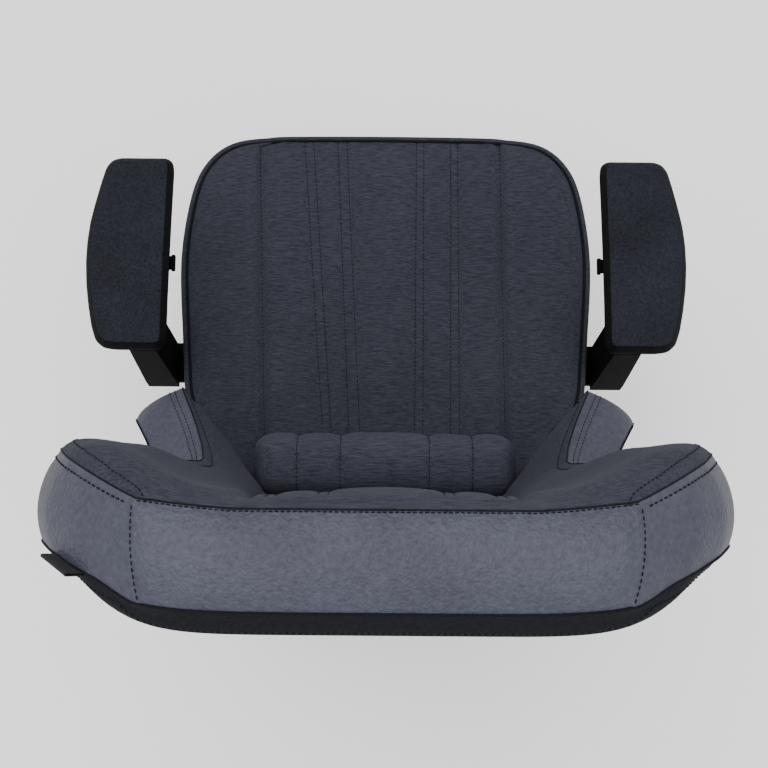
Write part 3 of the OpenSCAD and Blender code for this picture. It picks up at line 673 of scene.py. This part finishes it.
# Rings of a squared ellipse stand side by side and close at both ends; the rear is cut flat by the backrest.
def makePillow():
    u = spread(np.arange(6.0), [16, 15, 24, 15, 16])
    x = np.interp(u, np.arange(6), [-1.0, *(np.array(pillow["seams"]) / pillow["half"]), 1.0])
    x = np.concatenate([[-1.0], x[1:-1], [1.0]])
    girth = np.clip(1 - np.abs(x) ** 26, 0, 1) ** 0.45
    turn = np.linspace(0, 2 * np.pi, pillow["around"], endpoint=False)
    middle = [(pillow["near"] + pillow["far"]) / 2, (pillow["low"] + pillow["high"]) / 2]
    size = [(pillow["near"] - pillow["far"]) / 2 - 3, (pillow["high"] - pillow["low"]) / 2 - 1.5]
    cosine, sine = np.cos(turn), np.sin(turn)
    y = middle[0] + size[0] * np.sign(cosine) * np.abs(cosine) ** 0.62 * girth[:, None] ** 0.8
    high = 0.35 + 0.65 * girth[:, None]
    s = middle[1] + size[1] * np.sign(sine) * np.abs(sine) ** 0.62 * high * girth[:, None] ** 0.3
    y = np.minimum(y, pillow["near"])
    grid = placeBack(x[:, None] * pillow["half"], y, s)
    index = np.arange(grid[..., 0].size).reshape(len(x), -1)
    faces = gridFaces(np.concatenate([index, index[:, :1]], 1))
    # the pillow takes the lighter painted-light copy of the seat weave
    piece = addMesh("lumbarPillow", grid, faces, [pillowWeavePaintedLight], weld=0.00001)
    start = readPoints(piece).copy()
    across = start[:, 0] * 1000
    fromSeam = np.min(np.abs(across[:, None] - np.array(pillow["seams"])), 1)
    flatBack = placeBack(0, pillow["near"], 130)[1]
    rearward = start[:, 1] - (start[:, 2] - placeBack(0, 0, 130)[2]) * math.tan(chair["lean"]) - flatBack
    frozen = (fromSeam < 2.5) | (rearward > -0.004) | (np.abs(across) > 152)
    stuff(piece, frozen, pillow["puff"], pillow["pressure"])
    points = readPoints(piece)
    centre = placeBack(0, middle[0], middle[1])
    inward = centre - points
    inward[:, 0] = 0
    fold = pucker((start[:, 2] + start[:, 1]) * 1000, fromSeam, 0.35)
    points += unit(inward) * (valley(fromSeam, 2.6, 1.6) + fold)[:, None] * 0.001
    writePoints(piece, points)
    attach(piece, "back")
    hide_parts("lumbar_pillow")
    subdivide(piece)
    lines = []
    for seam in pillow["seams"]:
        near = np.abs(across - seam) < 0.5
        ring = points[near]
        angle = np.arctan2(ring[:, 2] - centre[2], ring[:, 1] - centre[1])
        ring = ring[np.argsort(angle)]
        lines.append(ring + unit((ring - centre) * np.array([0, 1, 1])) * 0.0004)
    stitchMesh("pillowStitches", lines, "back", threadDark, 0.0045, 0.003, 0.0005)
    seamRow = placeBack(x[3:-3] * pillow["half"], pillow["near"] + 0.6, pillow["high"] - 12)
    low = placeBack(x[3:-3] * pillow["half"], pillow["near"] + 0.6, pillow["low"] + 12)
    tubeMesh("pillowPiping", np.concatenate([seamRow, low[::-1]]), 0.0018, pipingAndPaintedShadeWeave, "back")
    print("pillow made")


makePillow()


pads = {"outline": [[262, 0], [315, 0], [324, 3], [330, 11], [335, 29], [341, 54], [346, 78],
                    [348.5, 102], [349, 126], [347.5, 152], [344, 178], [339.5, 202], [334, 219],
                    [325, 227], [312, 229], [264, 229], [257, 226], [255, 218], [255, 170],
                    [254.5, 120], [253.5, 60], [252.5, 17], [253.5, 6], [257, 1.5], [262, 0]],
        "front": -145.0, "low": 700.3, "high": 716.0}


# Rings follow the outline: out along the underside, up the rounded wall and in over the crowned top.
def makePad(name, node, body, side):
    loop = smoothLine(pads["outline"], 181, 9)[:-1]
    loop[:, 1] += pads["front"]
    out = loopNormals(loop)
    middle = np.clip(loop[:, 1], pads["front"] + 46, pads["front"] + 184)
    spine = np.stack([np.full(len(loop), 301.0), middle], 1)
    rise = pads["high"] - pads["low"]
    profile = [(-6, 0), (-0.6, 0.2), (1.2, 1.4), (1.7, 3.2), (1.2, 5.5), (-0.4, 8.5), (-2.4, 11.5),
               (-4.2, rise - 1.8), (-5.1, rise - 0.7), (-6.2, rise - 0.1), (-8, rise + 0.1)]
    rings = []
    for share in (0.0, 0.3, 0.6, 0.85):  # the underside, out from the middle
        flat = spine + (loop + out * profile[0][0] - spine) * share
        rings.append(place(side * flat[:, 0], flat[:, 1], np.full(len(loop), pads["low"])))
    for inset, up in profile:
        flat = loop + out * inset
        rings.append(place(side * flat[:, 0], flat[:, 1], np.full(len(loop), pads["low"] + up)))
    for share in (0.94, 0.86, 0.76, 0.64, 0.5, 0.36, 0.22, 0.1, 0.0):  # the top, crowned to the middle
        flat = spine + (loop + out * profile[-1][0] - spine) * share
        crown = 1.6 * (1 - share ** 2)
        rings.append(place(side * flat[:, 0], flat[:, 1], np.full(len(loop), pads["high"] + crown)))
    index = np.arange(len(rings) * len(loop)).reshape(len(rings), -1)
    faces = gridFaces(np.concatenate([index, index[:, :1]], 1))
    # the underside and wall rings take the near-black painted-shade copy, and the top keeps the pad skin
    kinds = np.repeat(np.arange(len(rings) - 1) < 12, len(loop))
    piece = addMesh(name, np.array(rings), faces, [padSkin, padWallPaintedShade], kinds, 0.00001)
    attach(piece, body)
    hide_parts(node)
    subdivide(piece)


makePad("armPadLeft", "arm_pad_left", "pad_left", 1)
makePad("armPadRight", "arm_pad_right", "pad_right", -1)
print("arm pads made")


def ribbon(name, path, side, half, thick, material, body):  # a flat band along a path of points
    ahead = unit(np.gradient(path, axis=0))
    face = unit(np.cross(ahead, side))
    ribs = []
    for across, up in ((-1, -1), (1, -1), (1, 1), (-1, 1)):
        ribs.append(path + side * half * across + face * thick * 0.5 * up)
    rings = np.stack(ribs, 1)
    index = np.arange(rings[..., 0].size).reshape(len(path), 4)
    faces = gridFaces(np.concatenate([index, index[:, :1]], 1))
    faces = np.concatenate([faces, index[:1, ::-1], index[-1:]])
    piece = addMesh(name, rings, faces, [material], smooth=False)
    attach(piece, body)
    return piece


strap = {"apart": 90.0, "half": 0.02, "thick": 0.0016, "frontEnds": [-46, 82], "rearEnds": [-40, 150],
         "onFront": -2.2, "onRear": 89.5, "proud": 1.6, "boxHalf": 14, "boxLow": 118, "boxHigh": 145}


def strapRear(x, s):  # just off the rear face, and level across its fullest part
    return np.maximum(rearY(x, s) + strap["proud"], strap["onRear"])


# Each strap runs from behind the pillow, under the backrest's lower edge and up the rear to a sewn box.
def makeStraps():
    straps, boxes = [], []
    for side in (-1, 1):
        x = strap["apart"] * side
        up = np.linspace(*strap["frontEnds"], 33)[::-1]
        down = np.linspace(*strap["rearEnds"], 49)
        turn = np.linspace(0, np.pi, 25)[1:-1]
        bottom = np.stack([44 - 45.5 * np.cos(turn), -47 - 17.5 * np.sin(turn) ** 0.35], 1)
        y = np.concatenate([np.full(33, strap["onFront"]), bottom[:, 0], strapRear(x, down)])
        s = np.concatenate([up, bottom[:, 1], down])
        path = placeBack(np.full(len(y), x), y, s)
        name = "lumbarStrapLeft" if side > 0 else "lumbarStrapRight"
        band = ribbon(name, path, np.array([1.0, 0, 0]), strap["half"], strap["thick"], webbing, "back")
        straps.append(band)
        wide, low, high = strap["boxHalf"], strap["boxLow"], strap["boxHigh"]
        walk = [[-wide, low], [wide, low], [wide, high], [-wide, high], [-wide, low], [wide, high]]
        walk = np.array(walk, float)
        walk = np.stack([np.interp(np.linspace(0, 5, 61), np.arange(6), walk[:, k]) for k in range(2)], 1)
        boxes.append(placeBack(x + walk[:, 0], strapRear(x, walk[:, 1]) + 1.0, walk[:, 1]))
    stitchMesh("strapStitches", boxes, "back", wheelNylon, 0.0042, 0.003, 0.00045)
    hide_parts("lumbar_straps")


label = {"half": 0.022, "thick": 0.0007, "inner": -0.010, "reach": 0.0095, "gap": 0.0012,
         "upSeam": 0.008, "inwards": 0.004}


def makeLabel():  # a blank tag, folded once and sewn into the rear seam of the shoulder
    low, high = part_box("side_label")
    centre = (np.array(low) + np.array(high)) / 2
    origin = placeBack(0, 0, 0)
    seam = unit(placeBack(-0.585, 0.309, 0.749) - origin)  # up along the sloping shoulder
    out = unit(placeBack(0.788, 0, 0.616) - origin)
    centre = centre + seam * label["upSeam"] - out * label["inwards"]
    fold = np.linspace(-np.pi / 2, np.pi / 2, 9)
    reach, gap = label["reach"], label["gap"]
    first = np.stack([np.linspace(label["inner"], reach, 14), np.full(14, -gap)], 1)
    bend = np.stack([reach + gap * np.cos(fold), gap * np.sin(fold)], 1)
    line = np.concatenate([first[:-1], bend, first[::-1][1:] * np.array([1, -1])])
    face = np.cross(out, seam)
    path = centre + line[:, :1] * out + line[:, 1:] * face
    tag = ribbon("sideLabel", path, seam, label["half"], label["thick"], webbing, "back")
    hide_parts("side_label")


makeStraps()
makeLabel()
print("straps and label made")

studio = {"floor": (0.95, 0.95, 0.955), "sky": 1.25,
          # each light: where it is, what it faces, its size and its power
          "keyLight": [(0.4, 0.1, 3.9), (0, 0, 0.5), 2.2, 95],
          "fillLight": [(-2.6, 1.6, 2.6), (0, 0, 0.8), 2.4, 20]}
floorMaterial = newMaterial("paleFloor", studio["floor"], 0.8)[0]
floor = addMesh("floor", np.array([[-6, -6, 0], [6, -6, 0], [6, 6, 0], [-6, 6, 0]], float),
                np.array([[0, 1, 2, 3]]), [floorMaterial])
world = bpy.data.worlds.new("studio")
world.use_nodes = True
world.node_tree.nodes["Background"].inputs["Color"].default_value = (1.0, 1.0, 1.0, 1)
world.node_tree.nodes["Background"].inputs["Strength"].default_value = studio["sky"]
bpy.context.scene.world = world


def softbox(name, spot, target, size, power):
    lamp = bpy.data.lights.new(name, "AREA")
    lamp.energy = power
    lamp.shape = "SQUARE"
    lamp.size = size
    holder = bpy.data.objects.new(name, lamp)
    bpy.context.scene.collection.objects.link(holder)
    holder.location = spot
    aim = mathutils.Vector(target) - mathutils.Vector(spot)
    holder.rotation_euler = aim.to_track_quat("-Z", "Y").to_euler()


for name in ("keyLight", "fillLight"):
    softbox(name, *studio[name])

shot = {"spot": place(4.921, 466.449, 2449.13), "lens": 72.52, "down": math.radians(78.872),
        "turn": math.radians(-0.568), "tip": math.radians(-1.027)}
lens = bpy.data.cameras.new("camera")
lens.lens = shot["lens"]
lens.sensor_width = 36
camera = bpy.data.objects.new("camera", lens)
bpy.context.scene.collection.objects.link(camera)
c, k = math.cos(shot["down"]), math.sin(shot["down"])
facing = mathutils.Matrix(((-1, 0, 0), (0, -k, c), (0, c, k)))
turned, tipped = [mathutils.Matrix.Rotation(angle, 3, "Z") for angle in (shot["turn"], -shot["tip"])]
camera.rotation_euler = (turned @ facing @ tipped).to_euler()
camera.location = shot["spot"].tolist()
bpy.context.scene.camera = camera
print("floor, light and camera made")
